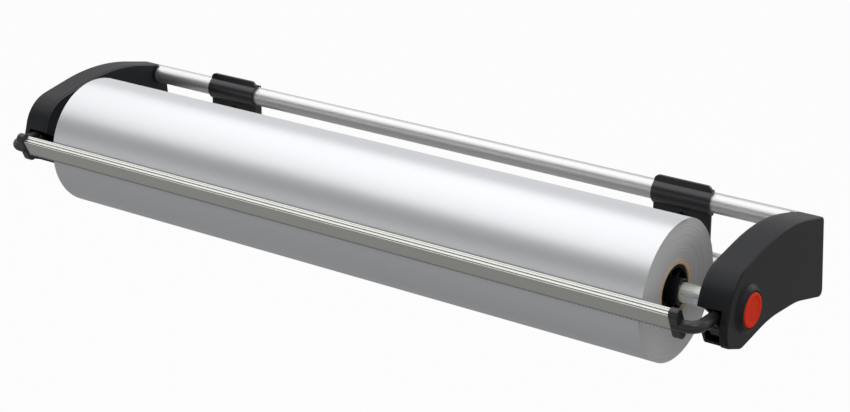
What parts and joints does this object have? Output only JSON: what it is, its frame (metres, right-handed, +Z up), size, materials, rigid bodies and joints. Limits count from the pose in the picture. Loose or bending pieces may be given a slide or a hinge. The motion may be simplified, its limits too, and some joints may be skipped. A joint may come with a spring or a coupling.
{
  "type": "gift wrap paper cutter",
  "caption": "Wall-mounted gift wrap dispenser: a wide paper roll on an axle between black moulded housings, with a sprung cutter bar on crank arms and a red push button.",
  "frame": {"origin": "on the wall, midway between the wall clips, at the height of the axle", "axes": "+X along the roll to the end with the button, +Y into the wall, +Z up"},
  "size_m": [0.9148, 0.2536, 0.1417],
  "materials": {
    "housing_black": "satin",
    "fitting_black": "satin",
    "tube_aluminium": "satin anodised",
    "bar_aluminium": "satin anodised",
    "strip_steel": "ground",
    "axle_zinc": "zinc plated",
    "bright_steel": "plated",
    "core_card": "cardboard",
    "paper_silver": "satin metallic paper",
    "button_red": "satin"
  },
  "bodies": {
    "frame": {"left_cover": "housing_black", "right_cover": "housing_black", "left_side_plate": "housing_black", "right_side_plate": "housing_black", "upper_tube": "tube_aluminium", "lower_tube": "tube_aluminium", "left_clip": "fitting_black", "right_clip": "fitting_black", "left_tube_pins": "bright_steel", "right_tube_pins": "bright_steel", "left_cover_screws": "bright_steel", "right_cover_screws": "bright_steel", "left_axle_bush": "fitting_black", "right_axle_bush": "fitting_black", "leading_sheet": "paper_silver", "left_pivot_pin": "bright_steel", "right_pivot_pin": "bright_steel", "left_arm_spring": "bright_steel", "right_arm_spring": "bright_steel", "button_spring": "bright_steel", "left_cap": "housing_black"},
    "roll": {"axle_tube": "axle_zinc", "left_core_adapter": "fitting_black", "right_core_adapter": "fitting_black", "cardboard_core": "core_card", "paper_roll": "paper_silver"},
    "cutter": {"cutter_bar": "bar_aluminium", "tear_strip": "strip_steel", "left_bar_end": "fitting_black", "right_bar_end": "fitting_black", "left_arm": "fitting_black", "right_arm": "fitting_black"},
    "button": {"button": "button_red", "button_clip": "bright_steel"}
  },
  "joints": [
    {"name": "roll_spin", "type": "hinge", "parent": "frame", "child": "roll", "pos_m": [0, -0.172, 0], "axis": [1, 0, 0], "continuous": true},
    {"name": "cutter_swing", "type": "hinge", "parent": "frame", "child": "cutter", "pos_m": [0, -0.19, -0.018], "axis": [1, 0, 0], "range_deg": [0, 50], "stiffness_Nm_per_rad": 0.5, "springref_deg": -51.57},
    {"name": "button_press", "type": "slide", "parent": "frame", "child": "button", "axis": [-1, 0, 0], "range_m": [0, 0.004], "stiffness_N_per_m": 500, "springref_m": -0.004, "deforming": ["button_spring"]}
  ]
}
